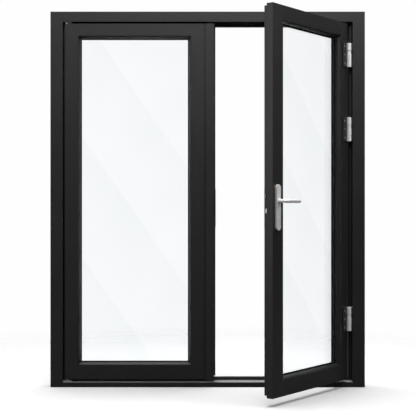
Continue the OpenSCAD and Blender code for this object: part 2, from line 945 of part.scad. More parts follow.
// Each cap has a cover plate, a plug in the front chamber, and the shoot bolt's bore
module mullion_cap(z_plate, z_plug) {
    difference() {
        union() {
            translate([0, 0, z_plate]) linear_extrude(cap_t) cap_outline(0);
            translate([0, 0, z_plug]) linear_extrude(cap_plug) cap_outline(wall);
        }
        bar_z(rod_x, rod_y, rod_d / 2 + run_fit, 0, frame_h);
    }
}

module mullion_caps() {
    color(nylon) {
        mullion_cap(mullion_z0 - cap_t, mullion_z0);
        mullion_cap(mullion_z1, mullion_z1 - cap_plug);
    }
}

module mullion_seal() {
    color(rubber) box(active_free + 0.6, lip_x - 0.5, stop_y - seal_t, stop_y, rear_z0, rear_z1);
}

module rod_guides() {
    low = mullion_z0 + rod_l - guide_in;
    high = mullion_z1 - rod_l + guide_in - guide_h;
    color(nylon) for (z = [low, high]) difference() {
        translate([0, 0, z]) linear_extrude(guide_h) cap_outline(wall);
        bar_z(rod_x, rod_y, rod_d / 2 + run_fit, 0, frame_h);
    }
}

// A rod with the small slider that works it from the profile's side
module shoot_bolt(z0, z1, knob_z) {
    y0 = rod_y - knob_y / 2;
    y1 = rod_y + knob_y / 2;
    bar_z(rod_x, rod_y, rod_d / 2, z0, z1);
    difference() {
        box(rod_x, mullion_x1 + 1, y0, y1, knob_z - knob_h / 2, knob_z + knob_h / 2);
        for (dz = [-grip_pitch, 0, grip_pitch]) bar_y(mullion_x1 + 1.5, knob_z + dz, 1, y0 - 1, y1 + 1);
    }
}

module shoot_bolt_top() {
    tip = mullion_z1 + cap_t - tip_in;
    color(steel) shoot_bolt(tip - rod_l, tip, top_knob_z);
}

module shoot_bolt_bottom() {
    tip = mullion_z0 - cap_t + tip_in;
    color(steel) shoot_bolt(tip, tip + rod_l, low_knob_z);
}

keep_fit = 0.5;
keep_proud = 1;

// A bush that takes the tip of a shoot bolt
module keep(z0, z1) {
    translate([rod_x, rod_y, 0]) tube(keep_d / 2, rod_d / 2 + keep_fit, z0, z1);
}

module keep_top() {
    color(steel) keep(head_z - keep_proud, head_z + wall + 6);
}

module keep_bottom() {
    top = nose_h + (rod_y - front_y) * tread_slope;
    color(steel) keep(top - 16, top + keep_proud);
}

// Lock ----------------------------------------------------------------------------------

latch_z = lever_z + latch_rise;
latch_notch = 7;
dead_z = cylinder_z + dead_rise;
handle_z1 = lever_z + handle_above;
handle_z0 = handle_z1 - handle_l;
handle_screw_in = 16;
handle_screw_zs = [handle_z0 + handle_screw_in, handle_z1 - handle_screw_in];
handle_screw_grip = 8;

// Openings for the latch and the dead bolt, with m to spare on each side
module bolt_holes(x0, x1, m) {
    y0 = lock_mid_y - bolt_t / 2 - m;
    y1 = lock_mid_y + bolt_t / 2 + m;
    box(x0, x1, y0, y1, latch_z - latch_h / 2 - m, latch_z + latch_h / 2 + m);
    box(x0, x1, y0, y1, dead_z - dead_h / 2 - m, dead_z + dead_h / 2 + m);
}

strike_fit = 0.8;

module strike_plate() {
    color(steel) difference() {
        box(
            lip_x, lip_x + strike_t, lock_mid_y - case_t / 2, lock_mid_y + case_t / 2,
            case_z0 - plate_over, case_z1 + plate_over
        );
        bolt_holes(lip_x - 1, lip_x + strike_t + 1, strike_fit);
    }
}

module euro_profile(m) {
    translate([spindle_x, cylinder_z]) circle(r = euro_r + m);
    translate([spindle_x - euro_leg / 2 - m, cylinder_z - euro_h + euro_r + euro_leg / 2])
        square([euro_leg + 2 * m, euro_h - euro_r - euro_leg / 2]);
    translate([spindle_x, cylinder_z - euro_h + euro_r + euro_leg / 2]) circle(r = euro_leg / 2 + m);
}

module euro_hole(m, y0, y1) {
    slab(y0, y1) euro_profile(m);
}

module lock_case() {
    u0 = active_free + case_u0;
    u1 = active_free + case_u1;
    y0 = lock_mid_y - case_t / 2;
    y1 = lock_mid_y + case_t / 2;
    w = case_wall;
    color(steel) on_active() difference() {
        box(u0, u1, y0, y1, case_z0, case_z1);
        box(u0 + w, u1 - w, y0 + w, y1 - w, case_z0 + w, case_z1 - w);
        bolt_holes(u0 - 1, u0 + w + 1, slide_fit);
        bar_y(spindle_x, lever_z, follower_r + run_fit, y0 - 1, y1 + 1);
        euro_hole(0.5, y0 - 1, y1 + 1);
    }
}

module lock_faceplate() {
    u0 = active_free + setback;
    color(black) on_active() difference() {
        box(
            u0, u0 + wall, lock_mid_y - case_t / 2, lock_mid_y + case_t / 2,
            case_z0 - plate_over, case_z1 + plate_over
        );
        bolt_holes(u0 - 1, u0 + wall + 1, slide_fit);
    }
}

// The latch has a ramp at its nose and a notch that the follower's lobe pulls
module latch_bolt() {
    x0 = active_free + setback - latch_out;
    tail = active_free + setback + latch_tail;
    y0 = lock_mid_y - bolt_t / 2;
    y1 = lock_mid_y + bolt_t / 2;
    color(silver) on_active() difference() {
        translate([0, 0, latch_z - latch_h / 2]) linear_extrude(latch_h) polygon([
            [x0, y0], [tail, y0], [tail, y1], [x0 + latch_out, y1], [x0, y0 + 1.5]
        ]);
        box(
            spindle_x - latch_notch, spindle_x + lobe_w / 2 + 3, y0 - 1, y1 + 1,
            latch_z - latch_h, latch_z - 1
        );
    }
}

module dead_bolt() {
    x0 = active_free + setback;
    color(silver) on_active() box(
        x0, x0 + dead_tail, lock_mid_y - bolt_t / 2, lock_mid_y + bolt_t / 2,
        dead_z - dead_h / 2, dead_z + dead_h / 2
    );
}

module lock_follower() {
    y0 = lock_mid_y - case_t / 2;
    y1 = lock_mid_y + case_t / 2;
    color(steel) on_active() difference() {
        union() {
            bar_y(spindle_x, lever_z, follower_r, y0, y1);
            box(
                spindle_x - lobe_w / 2, spindle_x + lobe_w / 2,
                lock_mid_y - bolt_t / 2, lock_mid_y + bolt_t / 2, lever_z, lever_z + lobe_r
            );
        }
        box(
            spindle_x - spindle_s / 2, spindle_x + spindle_s / 2, y0 - 1, y1 + 1,
            lever_z - spindle_s / 2, lever_z + spindle_s / 2
        );
    }
}

module cylinder_body() {
    y0 = face_y - handle_t - cylinder_proud;
    y1 = face_y + leaf_t + rear_plate_t + cylinder_proud;
    slot = cam_r + 1;
    color(silver) on_active() difference() {
        euro_hole(0, y0, y1);
        bar_y(spindle_x, cylinder_z, plug_r + run_fit, y0 - 1, y1 + 1);
        box(
            spindle_x - slot, spindle_x + slot, lock_mid_y - cam_w / 2 - slide_fit,
            lock_mid_y + cam_w / 2 + slide_fit, cylinder_z - slot, cylinder_z + slot
        );
    }
}

// The plug carries the keyway and the cam that throws the dead bolt
module cylinder_plug() {
    y0 = face_y - handle_t - cylinder_proud;
    y1 = face_y + leaf_t + rear_plate_t + cylinder_proud;
    color(silver) on_active() difference() {
        union() {
            bar_y(spindle_x, cylinder_z, plug_r, y0, y1);
            bar_y(spindle_x, cylinder_z, plug_r + 1, lock_mid_y - cam_w / 2, lock_mid_y + cam_w / 2);
            box(
                spindle_x - cam_t / 2, spindle_x + cam_t / 2,
                lock_mid_y - cam_w / 2, lock_mid_y + cam_w / 2, cylinder_z - cam_r, cylinder_z
            );
        }
        for (y = [y0, y1]) box(
            spindle_x - keyway_w / 2, spindle_x + keyway_w / 2, y - keyway_d, y + keyway_d,
            cylinder_z - keyway_h / 2, cylinder_z + keyway_h / 2
        );
    }
}

// Handle --------------------------------------------------------------------------------

module plate_blank(y0, y1) {
    r = handle_w / 2;
    bar_y(spindle_x, handle_z0 + r, r, y0, y1);
    bar_y(spindle_x, handle_z1 - r, r, y0, y1);
    box(spindle_x - r, spindle_x + r, y0, y1, handle_z0 + r, handle_z1 - r);
}

neck_r = 9;
collar_t = 8.7;
socket_d = 14;

module handle_plate() {
    y0 = face_y - handle_t;
    color(silver) on_active() difference() {
        plate_blank(y0, face_y);
        bar_y(spindle_x, lever_z, neck_r + run_fit, y0 - 1, face_y + 1);
        euro_hole(0.4, y0 - 1, face_y + 1);
        for (z = handle_screw_zs) bar_y(spindle_x, z, screw_r, face_y - handle_screw_grip, face_y + 1);
    }
}

module rear_plate() {
    y0 = face_y + leaf_t;
    y1 = y0 + rear_plate_t;
    color(silver) on_active() difference() {
        plate_blank(y0, y1);
        euro_hole(0.4, y0 - 1, y1 + 1);
        bar_y(spindle_x, lever_z, neck_r, y0 - 1, y1 - 3);
        for (z = handle_screw_zs) {
            bar_y(spindle_x, z, screw_r, y0 - 1, y1 + 1);
            bar_y(spindle_x, z, head_r, y1 - head_t, y1 + 1);
        }
    }
}

module handle_screws() {
    y1 = face_y + leaf_t + rear_plate_t;
    color(steel) on_active() for (z = handle_screw_zs)
        translate([spindle_x, y1, z]) rotate([-90, 0, 0]) screw(rear_plate_t + leaf_t + handle_screw_grip);
}

module lever() {
    r = lever_d / 2;
    y_mid = face_y - lever_out;
    y_collar = face_y - handle_t - slide_fit;
    color(silver) on_active() difference() {
        union() {
            bar_y(spindle_x, lever_z, neck_r, face_y - handle_t - 1, face_y);
            bar_y(spindle_x, lever_z, r + 2, y_collar - collar_t, y_collar);
            bar_y(spindle_x, lever_z, r, y_mid, y_collar - 1);
            translate([spindle_x, y_mid, lever_z]) sphere(r = r);
            bar_x(y_mid, lever_z, r, spindle_x, spindle_x + lever_l - r);
            translate([spindle_x + lever_l - r, y_mid, lever_z]) sphere(r = r);
        }
        box(
            spindle_x - spindle_s / 2, spindle_x + spindle_s / 2, face_y - handle_t - socket_d, face_y + 1,
            lever_z - spindle_s / 2, lever_z + spindle_s / 2
        );
    }
}

module spindle() {
    color(steel) on_active() box(
        spindle_x - spindle_s / 2, spindle_x + spindle_s / 2,
        face_y - handle_t - socket_d, face_y + leaf_t + 3,
        lever_z - spindle_s / 2, lever_z + spindle_s / 2
    );
}

// Screws of the hinge plates and the head pivot
module frame_screws() {
    color(steel) {
        at_hinges() for (z = screw_zs)
            translate([jamb_reach - plate_t, jamb_screw_y, z]) rotate([0, -90, 0]) screw(plate_t + wall);
        for (x = pivot_screw_x) translate([x, pivot_y, head_z - pivot_plate - head_t])
            mirror([0, 0, 1]) screw(pivot_plate + head_t + wall);
    }
}

jamb_left();
jamb_right();
head();
threshold();
tread_strip();
frame_cleats();
frame_seal();
hinge_jamb_plates();
hinge_jamb_knuckles();
hinge_pins();
frame_screws();
pivot_top();
pivot_bottom();
keep_top();
keep_bottom();
active_hinge_stile();
active_lock_stile();
active_top_rail();
active_bottom_rail();
active_beads();
active_pane_outer();
active_pane_inner();
active_spacer();
active_gaskets();
active_cleats();
hinge_leaf_wings();
hinge_leaf_knuckles();
hinge_rings();
hinge_bushes();
wing_screws();
lock_case();
lock_faceplate();
latch_bolt();
dead_bolt();
cylinder_body();
cylinder_plug();
handle_plate();
rear_plate();
handle_screws();
lever();
spindle();
lock_follower();
passive_hinge_stile();
passive_meeting_stile();
passive_top_rail();
passive_bottom_rail();
passive_beads();
passive_pane_outer();
passive_pane_inner();
passive_spacer();
passive_gaskets();
passive_cleats();
pivot_blocks();
false_mullion();
mullion_caps();
mullion_seal();
strike_plate();
rod_guides();
shoot_bolt_top();
shoot_bolt_bottom();
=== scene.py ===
"""French doors standing in their frame, the right leaf open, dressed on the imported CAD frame."""

import json
import math

import bmesh
import bpy
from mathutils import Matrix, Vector


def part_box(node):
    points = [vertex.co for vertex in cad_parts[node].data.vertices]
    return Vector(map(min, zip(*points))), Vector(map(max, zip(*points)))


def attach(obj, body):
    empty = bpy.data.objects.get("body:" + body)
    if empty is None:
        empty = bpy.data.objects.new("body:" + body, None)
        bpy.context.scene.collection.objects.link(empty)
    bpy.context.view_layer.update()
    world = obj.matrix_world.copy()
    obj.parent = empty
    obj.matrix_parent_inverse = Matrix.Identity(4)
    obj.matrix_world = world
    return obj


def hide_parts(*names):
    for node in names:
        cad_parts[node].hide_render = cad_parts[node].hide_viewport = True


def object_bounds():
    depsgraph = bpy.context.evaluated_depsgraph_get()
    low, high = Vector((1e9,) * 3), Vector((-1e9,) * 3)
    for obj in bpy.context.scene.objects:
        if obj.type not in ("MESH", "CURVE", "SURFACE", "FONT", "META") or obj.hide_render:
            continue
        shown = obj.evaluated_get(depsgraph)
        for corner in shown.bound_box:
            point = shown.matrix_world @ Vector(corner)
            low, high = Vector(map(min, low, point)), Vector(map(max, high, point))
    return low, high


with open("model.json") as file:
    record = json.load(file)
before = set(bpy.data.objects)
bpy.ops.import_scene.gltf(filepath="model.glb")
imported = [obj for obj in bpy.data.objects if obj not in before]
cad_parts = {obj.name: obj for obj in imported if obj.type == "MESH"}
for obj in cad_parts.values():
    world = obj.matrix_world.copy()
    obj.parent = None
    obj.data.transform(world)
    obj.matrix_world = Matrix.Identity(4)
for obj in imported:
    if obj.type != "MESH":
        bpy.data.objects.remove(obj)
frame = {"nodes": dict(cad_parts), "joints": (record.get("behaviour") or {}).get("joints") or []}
CAD_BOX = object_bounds()

NODES = frame["nodes"]
JOINTS = {joint["name"]: joint for joint in frame["joints"]}

POWDER_BLACK = (0.0115, 0.0115, 0.012, 1)
SATIN_SILVER = (0.74, 0.735, 0.73, 1)
ZINC = (0.42, 0.425, 0.43, 1)

# A Mix node's ends and result by their places, for numbers and for colours
NUMBER_ENDS, NUMBER_RESULT = (2, 3), 0
COLOUR_ENDS, COLOUR_RESULT = (6, 7), 2

# Node graph helpers -------------------------------------------------------------------


def place(tree, kind, **settings):
    """Adds a shader node and fills in its settings."""
    node = tree.nodes.new(kind)
    for key, value in settings.items():
        setattr(node, key, value)
    return node


def feed(tree, value, socket):
    """Fills an input with a number, or links another node's socket to it."""
    if isinstance(value, (int, float)):
        socket.default_value = value
    else:
        tree.links.new(value, socket)


def math_node(tree, operation, first, second=None, clamp=False):
    """A Math node whose operands are sockets or numbers; returns its output."""
    node = place(tree, "ShaderNodeMath", operation=operation, use_clamp=clamp)
    feed(tree, first, node.inputs[0])
    if second is not None:
        feed(tree, second, node.inputs[1])
    return node.outputs[0]


def remap(tree, value, low, high, reach_from=(0.0, 1.0), **settings):
    """Stretches a value's reach, 0 to 1 unless given, over low to high, sockets or numbers."""
    node = place(tree, "ShaderNodeMapRange", **settings)
    tree.links.new(value, node.inputs["Value"])
    node.inputs["From Min"].default_value, node.inputs["From Max"].default_value = reach_from
    feed(tree, low, node.inputs["To Min"])
    feed(tree, high, node.inputs["To Max"])
    return node.outputs["Result"]


def noise(tree, where, scale, detail=3.0, roughness=0.5):
    """A noise texture's value; scale is a socket or a number."""
    node = place(tree, "ShaderNodeTexNoise")
    tree.links.new(where, node.inputs["Vector"])
    node.inputs["Detail"].default_value = detail
    node.inputs["Roughness"].default_value = roughness
    feed(tree, scale, node.inputs["Scale"])
    return node.outputs["Fac"]


def stretched(tree, where, scale):
    """Coordinates scaled by a different share along each axis."""
    node = place(tree, "ShaderNodeMapping", vector_type="POINT")
    tree.links.new(where, node.inputs["Vector"])
    node.inputs["Scale"].default_value = scale
    return node.outputs["Vector"]


def bump(tree, height, strength, distance):
    """A normal bent by a height; strength is a socket or a number."""
    node = place(tree, "ShaderNodeBump")
    tree.links.new(height, node.inputs["Height"])
    node.inputs["Distance"].default_value = distance
    feed(tree, strength, node.inputs["Strength"])
    return node.outputs["Normal"]


def tones(tree, factor, dark, light):
    """A colour between dark and light."""
    node = place(tree, "ShaderNodeMix", data_type="RGBA")
    tree.links.new(factor, node.inputs["Factor"])
    for end, colour in zip(COLOUR_ENDS, (dark, light)):
        node.inputs[end].default_value = colour
    return node.outputs[COLOUR_RESULT]


def shade(colour, share):
    """A colour made darker or lighter by a share."""
    return tuple(c * share for c in colour[:3]) + (1,)


def new_group(name, inputs, outputs):
    """An empty node group; inputs are (name, default), outputs are (name, socket kind)."""
    group = bpy.data.node_groups.new(name, "ShaderNodeTree")
    for label, value in inputs:
        socket = group.interface.new_socket(label, in_out="INPUT", socket_type="NodeSocketFloat")
        socket.default_value = value
    for label, kind in outputs:
        group.interface.new_socket(label, in_out="OUTPUT", socket_type="NodeSocket" + kind)
    return group, group.nodes.new("NodeGroupInput"), group.nodes.new("NodeGroupOutput")


# Effects that several finishes share ----------------------------------------------------


def make_surface_grain():
    """Fine pits and slow mottling, for powder coat, rubber and moulded nylon."""
    group, given, out = new_group(
        "surface grain",
        [("Grain", 900.0), ("Mottle", 6.0), ("Depth", 0.3), ("Rough Low", 0.4), ("Rough High", 0.5)],
        [("Mottle", "Float"), ("Roughness", "Float"), ("Normal", "Vector")],
    )
    slow_share = 0.7
    pit_height = 0.0004
    where = place(group, "ShaderNodeTexCoord").outputs["Object"]
    slow = noise(group, where, given.outputs["Mottle"], 4.0, 0.6)
    fine = noise(group, where, given.outputs["Grain"], 2.0, 0.6)
    uneven = math_node(
        group, "ADD", math_node(group, "MULTIPLY", slow, slow_share),
        math_node(group, "MULTIPLY", fine, 1 - slow_share),
    )
    rough = remap(group, uneven, given.outputs["Rough Low"], given.outputs["Rough High"])
    group.links.new(slow, out.inputs["Mottle"])
    group.links.new(rough, out.inputs["Roughness"])
    group.links.new(bump(group, fine, given.outputs["Depth"], pit_height), out.inputs["Normal"])
    return group


def make_brushing():
    """Fine parallel scratches along one axis, for brushed and satin metal."""
    group, given, out = new_group(
        "brushing",
        [("Along X", 0.0), ("Depth", 0.2), ("Rough Low", 0.25), ("Rough High", 0.4)],
        [("Streak", "Float"), ("Roughness", "Float"), ("Normal", "Vector")],
    )
    where = place(group, "ShaderNodeTexCoord").outputs["Object"]
    across, along = 900, 14
    scratch_height = 0.0002
    upright = noise(group, stretched(group, where, (across, across, along)), 1.0, 3.0, 0.7)
    level = noise(group, stretched(group, where, (along, across, across)), 1.0, 3.0, 0.7)
    pick = place(group, "ShaderNodeMix", data_type="FLOAT")
    group.links.new(given.outputs["Along X"], pick.inputs["Factor"])
    for end, scratches in zip(NUMBER_ENDS, (upright, level)):
        group.links.new(scratches, pick.inputs[end])
    streak = pick.outputs[NUMBER_RESULT]
    group.links.new(streak, out.inputs["Streak"])
    rough = remap(group, streak, given.outputs["Rough Low"], given.outputs["Rough High"])
    group.links.new(rough, out.inputs["Roughness"])
    group.links.new(bump(group, streak, given.outputs["Depth"], scratch_height), out.inputs["Normal"])
    return group


def make_painted_reflection_bands():
    """Painted reflection on a pane: slanting bands, each with a crisp upper edge, over slow cloudy
    patches of painted reflection.
    """
    group, given, out = new_group(
        "painted reflection bands",
        [("Slope", 1.4), ("First", 1.0), ("Pitch", 0.7)],
        [("Clear", "Float")],
    )
    where = place(group, "ShaderNodeTexCoord").outputs["Object"]
    axes = place(group, "ShaderNodeSeparateXYZ")
    group.links.new(where, axes.inputs["Vector"])
    slant = math_node(
        group, "ADD", axes.outputs["Z"],
        math_node(group, "MULTIPLY", axes.outputs["X"], given.outputs["Slope"]),
    )
    turns = math_node(
        group, "DIVIDE", math_node(group, "SUBTRACT", slant, given.outputs["First"]),
        given.outputs["Pitch"],
    )
    band = math_node(group, "SUBTRACT", 1.0, math_node(group, "FRACT", turns))
    band_share = 0.55
    cloud_floor, cloud_share = 0.2, 0.85
    cloud = math_node(group, "SUBTRACT", noise(group, where, 2.6, 2.0, 0.5), cloud_floor)
    # Where this share is high, the pane takes its lighter colour. That lighter colour is painted
    # reflection, not a tint of the glass.
    clear = math_node(
        group, "ADD", math_node(group, "MULTIPLY", band, band_share),
        math_node(group, "MULTIPLY", cloud, cloud_share), clamp=True,
    )
    group.links.new(clear, out.inputs["Clear"])
    return group


GRAIN = make_surface_grain()
BRUSHING = make_brushing()
PAINTED_REFLECTION = make_painted_reflection_bands()

# Materials ------------------------------------------------------------------------------


def new_material(name):
    """A material with its node tree and its Principled shader."""
    material = bpy.data.materials.new(name)
    material.use_nodes = True
    tree = material.node_tree
    return material, tree, tree.nodes["Principled BSDF"]


def use_group(tree, group, **values):
    """Places a shared effect with this material's own values; _ stands for a space."""
    node = place(tree, "ShaderNodeGroup", node_tree=group)
    for key, value in values.items():
        node.inputs[key.replace("_", " ")].default_value = value
    return node


def coat(tree, skin, effect, factor, colour, spread):
    """Feeds a shader from an effect: its tones about a colour, its roughness and its normal."""
    dark, light = shade(colour, 1 - spread), shade(colour, 1 + spread)
    tree.links.new(tones(tree, effect.outputs[factor], dark, light), skin.inputs["Base Color"])
    for name in ("Roughness", "Normal"):
        tree.links.new(effect.outputs[name], skin.inputs[name])


def grained(name, colour, spread, grain, mottle, depth, rough, specular):
    """A coated or moulded surface: fine pits, slow mottling and uneven gloss."""
    material, tree, skin = new_material(name)
    effect = use_group(
        tree, GRAIN, Grain=grain, Mottle=mottle, Depth=depth, Rough_Low=rough[0], Rough_High=rough[1]
    )
    coat(tree, skin, effect, "Mottle", colour, spread)
    skin.inputs["Specular IOR Level"].default_value = specular
    return material


def brushed(name, colour, spread, along_x, depth, rough, metallic):
    """A metal with fine parallel scratches."""
    material, tree, skin = new_material(name)
    effect = use_group(
        tree, BRUSHING, Along_X=along_x, Depth=depth, Rough_Low=rough[0], Rough_High=rough[1]
    )
    coat(tree, skin, effect, "Streak", colour, spread)
    skin.inputs["Metallic"].default_value = metallic
    return material


def pane_glass(name, slope, first, pitch, dull, clear):
    """Glass with a faint cool tint, lightened in slanting bands of painted reflection."""
    material, tree, skin = new_material(name)
    bands = use_group(tree, PAINTED_REFLECTION, Slope=slope, First=first, Pitch=pitch)
    # The tint turns to the lighter colour where the painted reflection falls.
    tree.links.new(tones(tree, bands.outputs["Clear"], dull, clear), skin.inputs["Base Color"])
    skin.inputs["Roughness"].default_value = 0.0
    skin.inputs["IOR"].default_value = 1.28
    skin.inputs["Transmission Weight"].default_value = 1.0
    return material


# Coats and mouldings: colour, spread, grain, mottle, depth, gloss and specular level
POWDER = grained("powder_black", POWDER_BLACK, 0.12, 900.0, 5.0, 0.25, (0.38, 0.5), 0.42)
RUBBER = grained(
    "seal_rubber", (0.004, 0.004, 0.0043, 1), 0.2, 1400.0, 20.0, 0.4, (0.65, 0.85), 0.14
)
SPACER = grained(
    "spacer_black", (0.012, 0.012, 0.013, 1), 0.15, 1600.0, 20.0, 0.3, (0.5, 0.65), 0.3
)
NYLON = grained(
    "black_nylon", (0.014, 0.014, 0.015, 1), 0.15, 1200.0, 15.0, 0.35, (0.45, 0.6), 0.4
)

# Metals: colour, spread, whether the scratches run along X, depth, gloss and metallic
SILVER = brushed("satin_silver", SATIN_SILVER, 0.05, 0.0, 0.12, (0.4, 0.54), 0.35)
TREAD = brushed("tread_silver", (0.46, 0.46, 0.465, 1), 0.1, 1.0, 0.2, (0.3, 0.45), 0.7)
STEEL = brushed("steel", (0.5, 0.5, 0.505, 1), 0.08, 0.0, 0.15, (0.3, 0.42), 0.9)
CLEAT = brushed("cleat_metal", ZINC, 0.12, 1.0, 0.3, (0.45, 0.6), 0.8)

# Each pane's bands of painted reflection: slope, height of one band's edge above the sill's middle,
# and spacing
PASSIVE_BANDS = (1.447, 1.09, 0.697)
ACTIVE_BANDS = (1.854, 2.04, 0.54)
# The dull colour is the glass's own cool tint; the lighter colour is painted reflection.
DULL_GLASS = (0.93, 0.948, 0.958, 1)
PAINTED_REFLECTION_GLASS = (0.985, 0.99, 0.995, 1)
PASSIVE_GLASS = pane_glass("clear_glass.passive", *PASSIVE_BANDS, DULL_GLASS, PAINTED_REFLECTION_GLASS)
ACTIVE_GLASS = pane_glass("clear_glass.active", *ACTIVE_BANDS, DULL_GLASS, PAINTED_REFLECTION_GLASS)
# The inner pane has fainter bands of painted reflection of its own.
INNER_GLASS = pane_glass(
    "clear_glass.inner", 1.2, 0.5, 1.9, (0.975, 0.985, 0.99, 1), (0.99, 0.995, 1.0, 1)
)

FINISHES = {
    "tread_strip": TREAD,
    "frame_cleats": CLEAT, "active_cleats": CLEAT, "passive_cleats": CLEAT,
    "frame_seal": RUBBER, "mullion_seal": RUBBER,
    "active_gaskets": RUBBER, "passive_gaskets": RUBBER,
    "active_spacer": SPACER, "passive_spacer": SPACER,
    "hinge_jamb_knuckles": SILVER, "hinge_leaf_knuckles": SILVER, "hinge_rings": SILVER,
    "handle_plate": SILVER, "rear_plate": SILVER, "lever": SILVER,
    "cylinder_body": SILVER, "cylinder_plug": SILVER, "latch_bolt": STEEL, "dead_bolt": STEEL,
    "hinge_pins": STEEL, "frame_screws": STEEL, "wing_screws": STEEL, "handle_screws": STEEL,
    "pivot_top": STEEL, "pivot_bottom": STEEL, "pivot_blocks": CLEAT,
    "keep_top": STEEL, "keep_bottom": STEEL, "strike_plate": STEEL,
    "lock_case": CLEAT, "lock_follower": STEEL, "spindle": STEEL,
    "shoot_bolt_top": STEEL, "shoot_bolt_bottom": STEEL,
    "hinge_bushes": NYLON, "mullion_caps": NYLON, "rod_guides": NYLON,
    "passive_pane_outer": PASSIVE_GLASS, "active_pane_outer": ACTIVE_GLASS,
    "passive_pane_inner": INNER_GLASS, "active_pane_inner": INNER_GLASS,
}
GLASS_NODES = {name for name in FINISHES if "_pane_" in name}

# How far each kind of piece has its edges eased, in metres
EASED = {"handle_plate": 0.003, "rear_plate": 0.002, "hinge_jamb_knuckles": 0.0012,
         "hinge_leaf_knuckles": 0.0008, "hinge_rings": 0.0008}
EASED_PROFILE = 0.0007
SHARP_EDGE = math.radians(40)
SAME_POINT = 0.00001


def dress(name, node):
    """Gives a CAD node its finish, and eases its edges so that they catch the light."""
    node.data.materials.clear()
    node.data.materials.append(FINISHES.get(name, POWDER))
    if name in GLASS_NODES:
        return
    eased = EASED.get(name)
    weld = node.modifiers.new("weld", "WELD")
    weld.merge_threshold = SAME_POINT
    ease = node.modifiers.new("eased edges", "BEVEL")
    ease.width = eased or EASED_PROFILE
    ease.segments = 3 if eased else 2
    ease.limit_method = "ANGLE"
    ease.angle_limit = SHARP_EDGE
    ease.use_clamp_overlap = True
    smooth = node.modifiers.new("face normals", "WEIGHTED_NORMAL")
    smooth.keep_sharp = False


for node_name, cad_node in NODES.items():
    dress(node_name, cad_node)

# Round bars and turned pieces -------------------------------------------------------------


def mesh_piece(name, bm, material, body):
    """Turns a bmesh into a smooth piece that rides on a body."""
    bmesh.ops.recalc_face_normals(bm, faces=bm.faces)
    mesh = bpy.data.meshes.new(name)
    bm.to_mesh(mesh)
    bm.free()
    for face in mesh.polygons:
        face.use_smooth = True
    mesh.materials.append(material)
    piece = bpy.data.objects.new(name, mesh)
    bpy.context.scene.collection.objects.link(piece)
    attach(piece, body)
    return piece


def ring_of(bm, centre, across, over, sides=48):
    """A ring of vertices about a centre; across and over are its half axes."""
    ring = []
    for k in range(sides):
        turn = 2 * math.pi * k / sides
        ring.append(bm.verts.new(centre + across * math.cos(turn) + over * math.sin(turn)))
    return ring


def skin_rings(bm, rings):
    """Closes a row of rings into a solid piece."""
    for lower, upper in zip(rings, rings[1:]):
        for k in range(len(lower)):
            n = (k + 1) % len(lower)
            bm.faces.new((lower[k], lower[n], upper[n], upper[k]))
    bm.faces.new(rings[0])
    bm.faces.new(rings[-1])


def swept_bar(bm, stations, upright):
    """A closed bar through stations of (centre, half width, half height), with its up axis."""
    rings = []
    last = len(stations) - 1
    for i, (centre, half_w, half_h) in enumerate(stations):
        ahead = stations[min(i + 1, last)][0] - stations[max(i - 1, 0)][0]
        across = ahead.cross(upright).normalized()
        rings.append(ring_of(bm, centre, across * half_w, upright * half_h))
    skin_rings(bm, rings)


def turned(bm, origin, axis, profile):
    """A turned piece; the profile is a list of (distance along the axis, radius)."""
    side = axis.orthogonal().normalized()
    other = axis.cross(side)
    skin_rings(bm, [ring_of(bm, origin + axis * out, side * r, other * r) for out, r in profile])


def reach(name, origin, direction):
    """How far a CAD node's points lie from origin along a direction: (least, most)."""
    along = [(v.co - origin).dot(direction) for v in NODES[name].data.vertices]
    return min(along), max(along)


# The lever ---------------------------------------------------------------------------------

LEVER_TURN = JOINTS["lever_turn"]
SPINDLE = Vector(LEVER_TURN["pos_m"])
OUTWARD = -Vector(LEVER_TURN["axis"]).normalized()
UP = Vector((0, 0, 1))
TO_HINGE = OUTWARD.cross(UP).normalized()
if TO_HINGE.dot(Vector(JOINTS["active_leaf_swing"]["pos_m"]) - SPINDLE) < 0:
    TO_HINGE = -TO_HINGE

# Shares of the bar's full radius
NECK = 0.93
GRIP_WIDTH = 0.98
GRIP_END_HEIGHT = 0.96

# The collar at the bar's root: distance from the plate and radius
COLLAR = [
    (0.0, 0.0118), (0.0003, 0.0124), (0.006, 0.0124),
    (0.0075, 0.0119), (0.0082, 0.0108), (0.0084, 0.009),
]


def lever_stations(plate, front, tip):
    """The bar's stations from the plate, out through one bend and level to a domed end."""
    bar, bend, dome = 0.0103, 0.019, 0.0085
    inset = 0.0002
    seat = 2 * inset
    level = front - bar - inset
    straight = tip - dome - inset
    stations = []

    def add(out, along, half_w, half_h):
        stations.append((SPINDLE + OUTWARD * out + TO_HINGE * along, bar * half_w, bar * half_h))

    neck_steps, bend_steps, grip_steps, dome_steps = 6, 12, 8, 8
    for i in range(neck_steps + 1):
        add(plate + seat + (level - bend - plate) * i / neck_steps, 0, NECK, NECK)
    for i in range(1, bend_steps):
        share = i / bend_steps
        turn = math.pi / 2 * share
        thick = NECK + (1 - NECK) * share
        add(level - bend + bend * math.sin(turn), bend * (1 - math.cos(turn)), thick, thick)
    for i in range(grip_steps + 1):
        share = i / grip_steps
        add(level, bend + (straight - bend) * share, GRIP_WIDTH, 1 - (1 - GRIP_END_HEIGHT) * share)
    # The dome is blunt, and its last ring stays open enough for a flat end
    blunt, open_end = 0.8, 0.3
    for i in range(1, dome_steps + 1):
        turn = math.pi / 2 * i / (dome_steps + open_end)
        share = math.cos(turn) ** blunt
        add(level, straight + dome * math.sin(turn), GRIP_WIDTH * share, GRIP_END_HEIGHT * share)
    return stations, plate + seat


